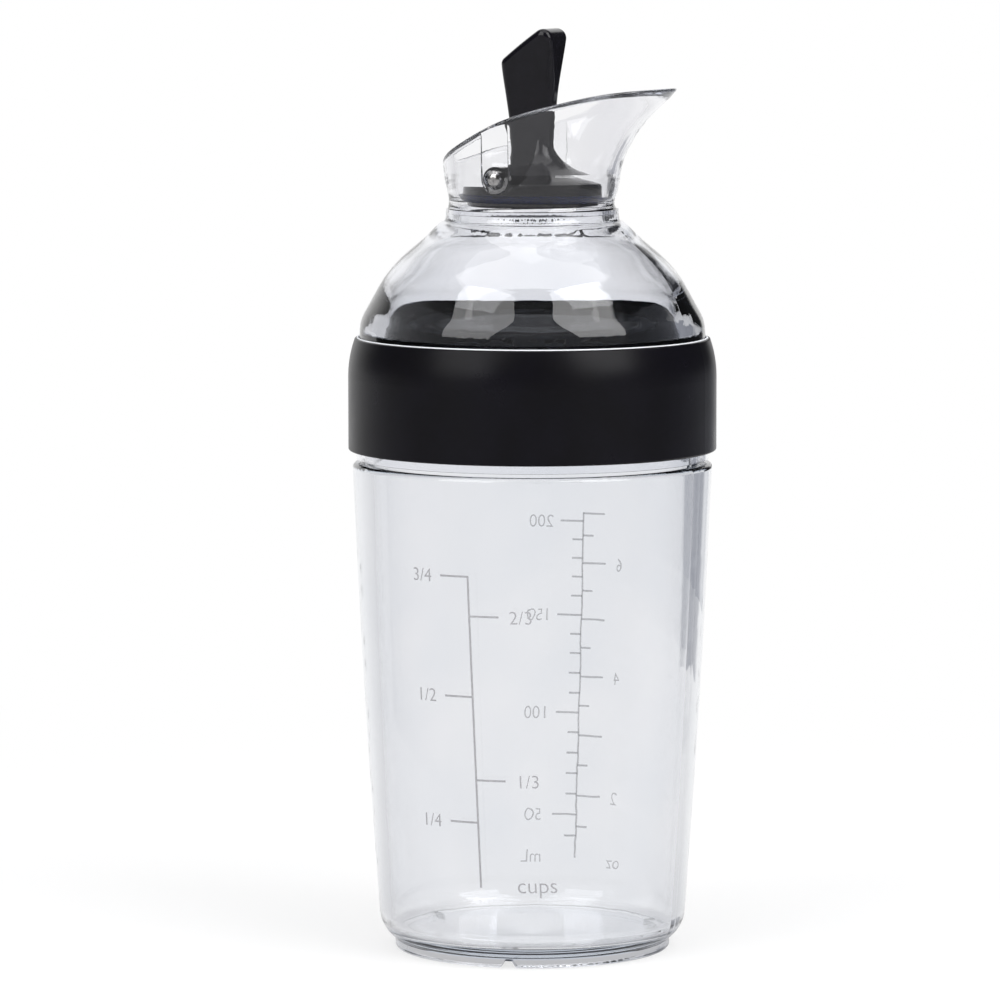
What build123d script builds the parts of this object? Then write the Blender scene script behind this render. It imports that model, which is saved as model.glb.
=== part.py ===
"""Salad dressing shaker: measuring tumbler, screw-on domed lid and a lever-operated pouring spout.

Millimetres, +Z up. The origin is on the axis at the foot, and the spout's tip points along +X.
"""

import math
import os

from build123d import *

# Tumbler: driving dimensions, measured up from the foot or out from the axis
rim_height = 110.5
shoulder_radius = 34.4
shoulder_round = 0.9
neck_height = 16.9
neck_step = 2.3
neck_wall = 1.7
rim_round = 0.5
wall_draft = 5.0
wall_bow = 0.4
wall_foot_height = 6.8
inner_draft = 3.6
inner_corner_round = 1.5
floor_top = 4.2
floor_recess = 1.4
foot_tuck = 3.0
foot_ring_height = 1.9
foot_ring_width = 2.4
foot_edge_round = 0.5
notch_count = 3
notch_depth = 1.4
notch_top_width = 1.4
notch_foot_width = 3.2
notch_bearing = -78.0

# Lid
lid_gap = 0.8
neck_clearance = 0.9
skirt_wall = 1.0
lip_inset = 0.3
lip_height = 1.6
gasket_height = 2.0
gasket_width = 3.75
gasket_clearance = 0.1
gasket_play = 0.05
seat_width = 4.6
rib_width = 0.7
rib_depth = 1.6
sleeve_height = 21.4
sleeve_thickness = 1.2
sleeve_top_thickness = 0.8
sleeve_edge_round = 0.35
sleeve_roll = 0.9
dome_height = 24.6
seam_step = 0.35

# Spout
spigot_length = 0.9
spigot_wall = 1.2
weld_gap = 0.05
valve_wall = 1.35
spout_wall = 2.0
spout_height = 23.2
spout_flare = 0.9
beak_reach = 12.7
beak_power = 4
rim_edge_round = 0.35
rim_inner_round = 1.2

# Stopper and hinge
valve_radius = 14.75
valve_drop = 4.6
valve_gap = 0.1
hinge_rise = 6.2
hinge_setback = 1.3
pin_radius = 1.75
pin_stand = 0.5
pin_end_round = 1.3
pin_fit = 0.02
pin_play = 0.05
barrel_wall = 0.65
barrel_stand = 0.1
slot_play = 0.3
slot_floor_gap = 0.15
disc_inset = 1.55
disc_thickness = 1.8
disc_edge_round = 0.4
groove_depth = 1.8
stopper_gasket_height = 1.5
stopper_lip_height = 1.1
plug_inset = 0.8
plug_height = 1.25
plug_edge_round = 0.4
gasket_fit = 0.05

# Thumb post
post_height = 27.7
post_half_length = 5.25
post_foot_thickness = 3.6
post_top_thickness = 9.8
post_rear_round = 1.5
post_tip_round = 2.0
post_crown = 0.2
post_edge_round = 1.2
trumpet_inset = 1.9
trumpet_setforward = 1.8
trumpet_height = 8.5

# One overrun serves every cut
overrun = 2.0
rest_height = 0.0


def shares(start, end, share):
    """A place between two sizes, at a share of the way."""
    return start + (end - start) * share


# Radii that follow from the sizes above
neck_radius = shoulder_radius - neck_step
inner_top_radius = neck_radius - neck_wall
inner_foot_radius = inner_top_radius - inner_draft
wall_foot_radius = shoulder_radius - wall_draft
foot_ring_radius = wall_foot_radius - foot_tuck
foot_inner = foot_ring_radius - foot_ring_width
skirt_inner_radius = neck_radius + neck_clearance
skirt_radius = skirt_inner_radius + skirt_wall
lip_radius = skirt_radius - lip_inset
dome_foot_radius = skirt_radius - sleeve_roll
dome_inner_radius = skirt_inner_radius - seat_width
bore_radius = math.sqrt(valve_radius**2 - valve_drop**2)
spout_neck_radius = valve_radius + valve_wall
throat_radius = spout_neck_radius + seam_step
spout_rear_radius = spout_neck_radius + spout_flare
spout_tip_reach = spout_rear_radius + beak_reach
barrel_radius = pin_radius + barrel_wall
pin_half_length = spout_neck_radius + pin_stand
barrel_half_length = valve_radius + barrel_stand
disc_radius = valve_radius - disc_inset
stem_radius = disc_radius - groove_depth
plug_radius = disc_radius - plug_inset
trumpet_foot_radius = disc_radius - trumpet_inset

# Heights that follow from the sizes above
shoulder_height = rim_height - neck_height
lip_foot = shoulder_height + lid_gap
sleeve_foot = lip_foot + lip_height
sleeve_top = sleeve_foot + sleeve_height
seat_height = rim_height + gasket_height + gasket_play
seam_height = sleeve_top + dome_height
spout_top = seam_height + spout_height
hinge_height = seam_height + hinge_rise
valve_height = hinge_height - valve_drop
disc_foot = valve_height + stopper_gasket_height + gasket_fit
disc_top = disc_foot + disc_thickness
trumpet_top = disc_top + trumpet_height
plug_top = valve_height - gasket_fit
plug_foot = plug_top - plug_height


# Tumbler: thick straight-draft wall, recessed floor on a notched foot ring, plain neck for the lid
def round_corners(places, radius):
    """Round the sketch's corners that lie at these places."""
    for place in places:
        fillet(vertices().sort_by_distance(place)[0], radius)


with BuildPart() as tumbler:
    with BuildSketch(Plane.XZ):
        with BuildLine():
            Polyline(
                (0, rim_height),
                (0, floor_recess),
                (foot_inner, floor_recess),
                (foot_inner, rest_height),
                (foot_ring_radius, rest_height),
                (foot_ring_radius, foot_ring_height),
            )
            wall_foot = (wall_foot_radius, wall_foot_height)
            wall = SagittaArc(wall_foot, (shoulder_radius, shoulder_height), -wall_bow)
            TangentArc(wall_foot, (foot_ring_radius, foot_ring_height), tangent=-(wall % 0))
            Polyline(
                (shoulder_radius, shoulder_height),
                (neck_radius, shoulder_height),
                (neck_radius, rim_height),
                (0, rim_height),
            )
        make_face()
        round_corners([(shoulder_radius, shoulder_height)], shoulder_round)
        round_corners([(neck_radius, rim_height)], rim_round)
        round_corners([(foot_ring_radius, rest_height), (foot_inner, rest_height)], foot_edge_round)
    revolve(axis=Axis.Z)
    with BuildSketch(Plane.XZ):
        with BuildLine():
            Line((0, floor_top), (inner_foot_radius, floor_top))
            SagittaArc((inner_foot_radius, floor_top), (inner_top_radius, shoulder_height), -wall_bow)
            Polyline(
                (inner_top_radius, shoulder_height),
                (inner_top_radius, rim_height),
                (0, rim_height),
                (0, floor_top),
            )
        make_face()
        round_corners([(inner_foot_radius, floor_top)], inner_corner_round)
    revolve(axis=Axis.Z, mode=Mode.SUBTRACT)
    rim_inner_edge = edges().filter_by(GeomType.CIRCLE).sort_by_distance((0, 0, rim_height))[0]
    fillet(rim_inner_edge, rim_round)
    with BuildSketch(Plane.YZ) as notch_profile:
        with BuildLine():
            Polyline(
                (-notch_foot_width / 2, -overrun),
                (-notch_foot_width / 2, rest_height),
                (-notch_top_width / 2, notch_depth),
                (notch_top_width / 2, notch_depth),
                (notch_foot_width / 2, rest_height),
                (notch_foot_width / 2, -overrun),
                close=True,
            )
        make_face()
    for turn in range(notch_count):
        extrude(
            notch_profile.sketch.rotate(Axis.Z, notch_bearing + turn * 360 / notch_count),
            amount=foot_ring_radius + overrun,
            mode=Mode.SUBTRACT,
        )
tumbler.part.label = "tumbler"


# Dome: thick-based shell from the throat down to the skirt that screws on the tumbler's neck
dome_out_shares = [
    (0.985, 0.11),
    (0.885, 0.26),
    (0.695, 0.48),
    (0.44, 0.665),
    (0.195, 0.81),
    (0.05, 0.90),
]
dome_in_shares = [(0.965, 0.20), (0.88, 0.36), (0.70, 0.51), (0.43, 0.67), (0.16, 0.81)]
sleeve_straight_share = 0.66
dome_foot_lean = (-1, 6)


def dome_curve(inner, outer, table):
    """Dome points from its foot up to the throat, inner and outer being the two end radii."""
    return [
        (shares(inner, outer, wide), shares(sleeve_top, seam_height, high)) for wide, high in table
    ]


with BuildPart() as lid_dome:
    socket_radius = bore_radius + spigot_wall + weld_gap
    socket_foot = seam_height - spigot_length - weld_gap
    with BuildSketch(Plane.XZ):
        with BuildLine():
            outer_foot = (dome_foot_radius, sleeve_top)
            Spline(
                outer_foot,
                *dome_curve(throat_radius, dome_foot_radius, dome_out_shares),
                (throat_radius, seam_height),
                tangents=[dome_foot_lean, (0, 1)],
            )
            Polyline(
                (throat_radius, seam_height),
                (socket_radius, seam_height),
                (socket_radius, socket_foot),
                (bore_radius, socket_foot),
            )
            inner_foot = (dome_inner_radius, sleeve_top)
            Spline(
                (bore_radius, socket_foot),
                *reversed(dome_curve(bore_radius, dome_inner_radius, dome_in_shares)),
                inner_foot,
                tangents=[(0, -1), (0, -1)],
            )
            Polyline(
                inner_foot,
                (dome_inner_radius, seat_height - rib_depth),
                (dome_inner_radius + rib_width, seat_height - rib_depth),
                (dome_inner_radius + rib_width, seat_height),
                (skirt_inner_radius, seat_height),
                (skirt_inner_radius, lip_foot),
                (lip_radius, lip_foot),
                (lip_radius, sleeve_foot),
                (skirt_radius, sleeve_foot),
                (skirt_radius, shares(sleeve_foot, sleeve_top, sleeve_straight_share)),
            )
            TangentArc(
                (skirt_radius, shares(sleeve_foot, sleeve_top, sleeve_straight_share)),
                outer_foot,
                tangent=(0, 1),
            )
        make_face()
    revolve(axis=Axis.Z)
lid_dome.part.label = "lid_dome"


# Grip band: soft sleeve that hugs the skirt, thinner where it rolls over at the top
with BuildPart() as grip_band:
    sleeve_straight = shares(sleeve_foot, sleeve_top, sleeve_straight_share)
    with BuildSketch(Plane.XZ):
        with BuildLine():
            Line((dome_foot_radius, sleeve_top), (dome_foot_radius + sleeve_top_thickness, sleeve_top))
            TangentArc(
                (skirt_radius, sleeve_straight),
                (dome_foot_radius, sleeve_top),
                tangent=(0, 1),
            )
            TangentArc(
                (skirt_radius + sleeve_thickness, sleeve_straight),
                (dome_foot_radius + sleeve_top_thickness, sleeve_top),
                tangent=(0, 1),
            )
            Polyline(
                (skirt_radius, sleeve_straight),
                (skirt_radius, sleeve_foot),
                (skirt_radius + sleeve_thickness, sleeve_foot),
                (skirt_radius + sleeve_thickness, sleeve_straight),
            )
        make_face()
        outer_corners = [
            (skirt_radius + sleeve_thickness, sleeve_foot),
            (dome_foot_radius + sleeve_top_thickness, sleeve_top),
        ]
        round_corners(outer_corners, sleeve_edge_round)
    revolve(axis=Axis.Z)
grip_band.part.label = "grip_band"


# Lid gasket: flat silicone ring between the lid's seat and the tumbler's rim
with BuildPart() as lid_gasket:
    gasket_outer = skirt_inner_radius - gasket_clearance
    with BuildSketch(Plane.XY.offset(rim_height)):
        Circle(gasket_outer)
        Circle(gasket_outer - gasket_width, mode=Mode.SUBTRACT)
    extrude(amount=gasket_height)
lid_gasket.part.label = "lid_gasket"


# Slots: U-shaped reliefs in the spout's inner wall, one for each end of the hinge barrel
with BuildPart() as hinge_slots:
    slot_radius = barrel_radius + slot_play
    slot_reach = math.hypot(barrel_half_length, barrel_radius + hinge_setback) + slot_floor_gap
    with BuildSketch(Plane.XZ):
        with Locations((-hinge_setback, hinge_height)):
            Circle(slot_radius)
            Rectangle(2 * slot_radius, spout_height, align=(Align.CENTER, Align.MIN))
    extrude(amount=slot_reach, both=True)
    with BuildSketch(Plane.XY.offset(seam_height)):
        Circle(slot_reach)
    extrude(amount=spout_height + overrun, mode=Mode.INTERSECT)


# Spout: egg-shaped flare with a beak, cut off along a rising rim, over the stopper's round seat
spout_out_shares = [
    (0.0, 0.0, 0.0),
    (0.125, 0.0, 0.0),
    (0.25, 0.70, 0.0),
    (0.35, 1.0, 0.01),
    (0.475, 1.0, 0.10),
    (0.65, 1.0, 0.30),
    (0.80, 1.0, 0.55),
    (0.91, 1.0, 0.77),
    (1.045, 1.0, 1.11),
]
spout_in_shares = [
    (0.19, 0.32, 0.0),
    (0.30, 0.70, 0.0),
    (0.405, 0.97, 0.03),
    (0.475, 1.0, 0.08),
    (0.65, 1.0, 0.26),
    (0.80, 1.0, 0.48),
    (0.91, 1.0, 0.68),
    (1.045, 1.0, 1.00),
]
rim_shares = [(0.0, 0.35), (0.187, 0.569), (0.364, 0.735), (0.61, 0.882), (0.792, 0.963), (1.0, 1.0)]
egg_points = 16


def egg(rear, nose):
    """Points round an egg that is circular behind and drawn out to a beak along +X."""
    points = []
    for step in range(egg_points):
        angle = 2 * math.pi * step / egg_points
        reach = rear + (nose - rear) * ((1 + math.cos(angle)) / 2) ** beak_power
        points.append((reach * math.cos(angle), reach * math.sin(angle)))
    return points


def egg_levels(neck, rear_end, tip, table):
    """Height and egg outline for each level of the table."""
    levels = []
    for high, wide, beak in table:
        rear = shares(neck, rear_end, wide)
        levels.append((shares(seam_height, spout_top, high), egg(rear, shares(rear, tip, beak))))
    return levels


with BuildPart() as spout:
    rear_inner = spout_rear_radius - spout_wall
    for height, outline in egg_levels(
        spout_neck_radius, spout_rear_radius, spout_tip_reach, spout_out_shares
    ):
        with BuildSketch(Plane.XY.offset(height)):
            with BuildLine():
                Spline(*outline, periodic=True)
            make_face()
    loft()
    with BuildSketch(Plane.XY.offset(seam_height - spigot_length)):
        Circle(bore_radius + spigot_wall)
    extrude(amount=spigot_length + spigot_wall)
    for height, outline in egg_levels(
        bore_radius, rear_inner, spout_tip_reach - spout_wall, spout_in_shares
    ):
        with BuildSketch(Plane.XY.offset(height)):
            with BuildLine():
                Spline(*outline, periodic=True)
            make_face()
    loft(mode=Mode.SUBTRACT)
    with BuildSketch(Plane.XZ):
        with BuildLine():
            seat_end = valve_drop / 4
            seat_end_radius = math.sqrt(valve_radius**2 - seat_end**2)
            Polyline(
                (0, hinge_height + seat_end),
                (0, seam_height - spigot_length - overrun),
                (bore_radius, seam_height - spigot_length - overrun),
                (bore_radius, valve_height),
            )
            ThreePointArc(
                (bore_radius, valve_height),
                (valve_radius, hinge_height),
                (seat_end_radius, hinge_height + seat_end),
            )
            Line((seat_end_radius, hinge_height + seat_end), (0, hinge_height + seat_end))
        make_face()
    revolve(axis=Axis.Z, mode=Mode.SUBTRACT)
    with BuildSketch(Plane.XZ):
        with BuildLine():
            rim_line = [
                (
                    shares(-spout_rear_radius, spout_tip_reach, along),
                    shares(seam_height, spout_top, high),
                )
                for along, high in rim_shares
            ]
            rear_end = (rim_line[0][0] - overrun, rim_line[0][1] - overrun)
            tip_end = (rim_line[-1][0] + 2 * overrun, rim_line[-1][1])
            Spline(rear_end, *rim_line, tip_end)
            ceiling = spout_top + spout_height
            Polyline(tip_end, (tip_end[0], ceiling), (rear_end[0], ceiling), rear_end)
        make_face()
    extrude(amount=spout_rear_radius + overrun, both=True, mode=Mode.SUBTRACT)
    for radius, place in ((rim_inner_round, 0), (rim_edge_round, -1)):
        rim_edges = faces().filter_by(GeomType.EXTRUSION).edges()
        loops = rim_edges.filter_by(lambda edge: edge.length > spout_rear_radius)
        fillet(loops.sort_by(SortBy.LENGTH)[place], radius)
    add(hinge_slots.part, mode=Mode.SUBTRACT)
    with BuildSketch(Plane.XZ):
        with Locations((-hinge_setback, hinge_height)):
            Circle(pin_radius + pin_fit)
    extrude(amount=spout_rear_radius + overrun, both=True, mode=Mode.SUBTRACT)
spout.part.label = "spout"


# Hinge pin: plain stainless pin with rounded ends, flush with the spout's outside
with BuildPart() as hinge_pin:
    with BuildSketch(Plane.XZ):
        with Locations((-hinge_setback, hinge_height)):
            Circle(pin_radius)
    extrude(amount=pin_half_length, both=True)
    fillet(edges().filter_by(GeomType.CIRCLE), pin_end_round)
hinge_pin.part.label = "hinge_pin"


# Lever: thumb post, trumpet-shaped root, stopper disc, hinge barrel and the plug below the groove
post_rear_shares = [(-0.84, 0.0), (-0.76, 0.24), (-0.93, 0.50), (-1.04, 0.795)]
post_front_shares = [(1.08, 1.072), (1.04, 0.86), (0.94, 0.606), (0.81, 0.28), (0.81, 0.0)]
post_thick_shares = [(0, 0), (0, 0.28), (0, 0.48), (0.07, 0.6), (0.28, 0.71), (0.58, 0.83), (1.1, 1.06)]
trumpet_shares = [(0.0, 1.0), (0.115, 0.72), (0.25, 0.50), (0.45, 0.32), (0.75, 0.17), (1.0, 0.04)]


def post_place(table, reach):
    """Places on the post, as shares of a reach and of the post's height."""
    return [(wide * reach, hinge_height + high * post_height) for wide, high in table]


with BuildPart() as lever:
    with BuildSketch(Plane.XZ):
        with BuildLine():
            rear_line = post_place(post_rear_shares, post_half_length)
            front_line = post_place(post_front_shares, post_half_length)
            Spline(*rear_line)
            SagittaArc(rear_line[-1], front_line[0], post_crown)
            Spline(*front_line)
            Line(front_line[-1], rear_line[0])
        make_face()
        round_corners([rear_line[-1]], post_rear_round)
        round_corners([front_line[0]], post_tip_round)
    extrude(amount=post_top_thickness, both=True)
    with BuildSketch(Plane.YZ):
        with BuildLine():
            half_foot = post_foot_thickness / 2
            flank = [
                (
                    shares(half_foot, post_top_thickness / 2, wide),
                    hinge_height + high * post_height,
                )
                for wide, high in post_thick_shares
            ]
            right = Spline(*flank)
            left = Spline(*[(-wide, high) for wide, high in flank])
            Line(right @ 0, left @ 0)
            Line(right @ 1, left @ 1)
        make_face()
    extrude(amount=2 * post_half_length, both=True, mode=Mode.INTERSECT)
    fillet(edges().filter_by(lambda e: e.center().Z > hinge_height + post_height / 4), post_edge_round)
    trumpet_plane = Plane.YZ.offset(trumpet_setforward)
    with BuildSketch(trumpet_plane):
        with BuildLine():
            trumpet_line = [
                (-shares(half_foot, trumpet_foot_radius, wide), shares(disc_top, trumpet_top, high))
                for wide, high in trumpet_shares
            ]
            Spline(*trumpet_line)
            Polyline(
                trumpet_line[-1],
                (-trumpet_foot_radius, disc_foot + disc_edge_round),
                (0, disc_foot + disc_edge_round),
                (0, trumpet_top),
                trumpet_line[0],
            )
        make_face()
    revolve(axis=Axis((trumpet_setforward, 0, 0), (0, 0, 1)), revolution_arc=180)
    with BuildSketch(Plane.XY.offset(disc_foot)):
        Circle(disc_radius)
    extrude(amount=disc_thickness)
    with BuildSketch(Plane.XZ):
        with Locations((-hinge_setback, hinge_height)):
            Circle(barrel_radius)
    extrude(amount=barrel_half_length, both=True)
    with BuildSketch(Plane.XY.offset(plug_top)):
        Circle(stem_radius)
    extrude(amount=disc_foot - plug_top)
    with BuildSketch(Plane.XY.offset(plug_foot)):
        Circle(plug_radius)
    extrude(amount=plug_height)
    plug_edge = edges().filter_by(GeomType.CIRCLE).sort_by(Axis.Z)[0]
    fillet(plug_edge, plug_edge_round)
    with BuildSketch(Plane.XZ):
        with Locations((-hinge_setback, hinge_height)):
            Circle(pin_radius + pin_play)
    extrude(amount=disc_radius + overrun, both=True, mode=Mode.SUBTRACT)
lever.part.label = "lever"


# Stopper gasket: silicone ring in the lever's groove, its lip rounded to the seat's sphere
with BuildPart() as stopper_gasket:
    with BuildSketch(Plane.XZ):
        with BuildLine():
            lip_ball = valve_radius - valve_gap
            lip_top = valve_height + stopper_lip_height
            lip_low_radius = math.sqrt(lip_ball**2 - valve_drop**2)
            lip_top_radius = math.sqrt(lip_ball**2 - (hinge_height - lip_top) ** 2)
            gasket_top = valve_height + stopper_gasket_height
            RadiusArc((lip_low_radius, valve_height), (lip_top_radius, lip_top), -lip_ball)
            Polyline(
                (lip_top_radius, lip_top),
                (disc_radius, lip_top),
                (disc_radius, gasket_top),
                (stem_radius + gasket_fit, gasket_top),
                (stem_radius + gasket_fit, valve_height),
                (lip_low_radius, valve_height),
            )
        make_face()
    revolve(axis=Axis.Z)
stopper_gasket.part.label = "stopper_gasket"


os.makedirs("parts", exist_ok=True)
pieces = [tumbler, lid_dome, spout, grip_band, lid_gasket, lever, stopper_gasket, hinge_pin]
for piece in pieces:
    export_step(piece.part, f"parts/{piece.part.label}.step")
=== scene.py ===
"""Salad dressing shaker: its looks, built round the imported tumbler, lid, spout and lever."""

import math

import bmesh
import bpy
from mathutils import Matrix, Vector


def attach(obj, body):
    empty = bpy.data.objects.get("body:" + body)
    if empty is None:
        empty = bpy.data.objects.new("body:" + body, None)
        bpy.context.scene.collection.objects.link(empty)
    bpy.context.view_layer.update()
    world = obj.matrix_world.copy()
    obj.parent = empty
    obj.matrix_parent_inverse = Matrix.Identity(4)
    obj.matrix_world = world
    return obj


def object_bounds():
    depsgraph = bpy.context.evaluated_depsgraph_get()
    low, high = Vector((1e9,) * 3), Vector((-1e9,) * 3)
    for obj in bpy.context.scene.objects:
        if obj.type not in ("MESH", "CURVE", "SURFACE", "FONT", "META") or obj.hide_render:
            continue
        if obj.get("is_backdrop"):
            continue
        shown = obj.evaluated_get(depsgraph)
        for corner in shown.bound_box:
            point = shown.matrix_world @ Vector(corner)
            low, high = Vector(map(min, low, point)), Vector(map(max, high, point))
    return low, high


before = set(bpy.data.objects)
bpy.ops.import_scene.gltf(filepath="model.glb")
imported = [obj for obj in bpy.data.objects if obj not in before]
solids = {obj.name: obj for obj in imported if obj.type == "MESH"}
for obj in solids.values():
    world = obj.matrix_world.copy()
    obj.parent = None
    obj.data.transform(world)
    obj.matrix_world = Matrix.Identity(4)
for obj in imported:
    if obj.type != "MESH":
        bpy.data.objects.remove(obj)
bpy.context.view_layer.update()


# Camera: a long lens a little above the shoulder of the bottle, turned so that the spout's tip
# points right and towards the viewer. The frame leaves the bottle slightly right of the middle.
camera_azimuth = math.radians(22)
camera_pitch = math.radians(6)
camera_distance = 1.1
aim = Vector((0, 0, 0.08613))
camera_data = bpy.data.cameras.new("product_camera")
camera_data.sensor_width = 36
camera_data.lens = 206.7
camera_data.shift_x = -0.0324
camera = bpy.data.objects.new("product_camera", camera_data)
bpy.context.scene.collection.objects.link(camera)
bpy.context.scene.camera = camera
backwards = Vector(
    (
        math.sin(camera_azimuth) * math.cos(camera_pitch),
        -math.cos(camera_azimuth) * math.cos(camera_pitch),
        math.sin(camera_pitch),
    )
)
camera.location = aim + backwards * camera_distance
camera.rotation_mode = "QUATERNION"
camera.rotation_quaternion = (-backwards).to_track_quat("-Z", "Y")


# Tumbler: thick-walled measuring cup of clear copolyester, injection moulded in one shot and left
# with the tool's polish. Long paths through the wall turn it a cool grey along the edges.
mm = 0.001


def linear(code):
    """An sRGB hex colour as linear RGBA."""
    shares = [int(code[place : place + 2], 16) / 255 for place in (1, 3, 5)]
    return [s / 12.92 if s <= 0.04045 else ((s + 0.055) / 1.055) ** 2.4 for s in shares] + [1.0]


def add(tree, kind, inputs=None, **settings):
    """Add a node with its settings. Its inputs take a plain value, or a socket to link from."""
    made = tree.nodes.new(kind)
    for name, value in settings.items():
        setattr(made, name, value)
    for key, value in (inputs or {}).items():
        if isinstance(value, bpy.types.NodeSocket):
            tree.links.new(value, made.inputs[key])
        else:
            made.inputs[key].default_value = value
    return made


def start_material(name):
    """A new material with an empty node tree, its object coordinates and its output."""
    material = bpy.data.materials.new(name)
    material.use_nodes = True
    tree = material.node_tree
    tree.nodes.clear()
    place = add(tree, "ShaderNodeTexCoord").outputs["Object"]
    return material, tree, place, add(tree, "ShaderNodeOutputMaterial")


def clear_copolyester(name, clear, tinted, depth_tint, depth_density, haze):
    """Polished clear copolyester: slow flow ripples, fine handling scuffs, edges tinted by their depth."""
    material, tree, place, output = start_material(name)
    flow = add(tree, "ShaderNodeTexNoise", {"Vector": place, "Scale": 1 / (18 * mm), "Detail": 1.5})
    scuffs = add(tree, "ShaderNodeTexNoise", {"Vector": place, "Scale": 1 / (0.9 * mm), "Detail": 3.0})
    colour = add(tree, "ShaderNodeValToRGB", {"Fac": flow.outputs["Fac"]})
    colour.color_ramp.elements[0].position = 0.3
    colour.color_ramp.elements[0].color = linear(clear)
    colour.color_ramp.elements[1].position = 0.7
    colour.color_ramp.elements[1].color = linear(tinted)
    polish = add(
        tree,
        "ShaderNodeMapRange",
        {"Value": scuffs.outputs["Fac"], "From Min": 0.35, "From Max": 0.75, "To Max": haze},
    )
    ripple = add(
        tree,
        "ShaderNodeBump",
        {"Height": flow.outputs["Fac"], "Strength": 0.5, "Distance": 0.012 * mm},
    )
    shader = add(
        tree,
        "ShaderNodeBsdfPrincipled",
        {
            "Base Color": colour.outputs["Color"],
            "Roughness": polish.outputs["Result"],
            "Normal": ripple.outputs["Normal"],
            "IOR": 1.55,
            "Transmission Weight": 1.0,
        },
    )
    depth = add(
        tree, "ShaderNodeVolumeAbsorption", {"Color": linear(depth_tint), "Density": depth_density}
    )
    tree.links.new(shader.outputs["BSDF"], output.inputs["Surface"])
    tree.links.new(depth.outputs["Volume"], output.inputs["Volume"])
    return material


def dress(name, material):
    """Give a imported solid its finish."""
    solids[name].data.materials.clear()
    solids[name].data.materials.append(material)


tumbler_clear = clear_copolyester(
    "moulded_clear_copolyester_tumbler", "#fdfdfe", "#f8f9fb", "#bfc8d4", 22.0, 0.02
)
dress("tumbler", tumbler_clear)


# Neck thread: two rounded ridges, moulded with the tumbler, that climb the neck side by side. One
# and a half turns of the lid lift it clear by 18 mm. The ridges' feet are sunk a little in the wall.
thread_lead = 12 * mm
thread_depth = 0.72 * mm
thread_foot = 2.2 * mm
thread_crest = 1.0 * mm
thread_round = 0.2 * mm
thread_stand = 0.46
neck_turns = 0.75
neck_radius = 32.1 * mm
neck_thread_height = 98.2 * mm


def tree_with_inputs(name, inputs):
    """A geometry tree with these named inputs, as pairs of socket kind and start value, and its ends."""
    tree = bpy.data.node_groups.new(name, "GeometryNodeTree")
    for label, (kind, value) in inputs.items():
        socket = tree.interface.new_socket(label, in_out="INPUT", socket_type=kind)
        if value is not None:
            socket.default_value = value
    tree.interface.new_socket("Geometry", in_out="OUTPUT", socket_type="NodeSocketGeometry")
    return tree, add(tree, "NodeGroupInput").outputs, add(tree, "NodeGroupOutput").inputs


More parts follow.
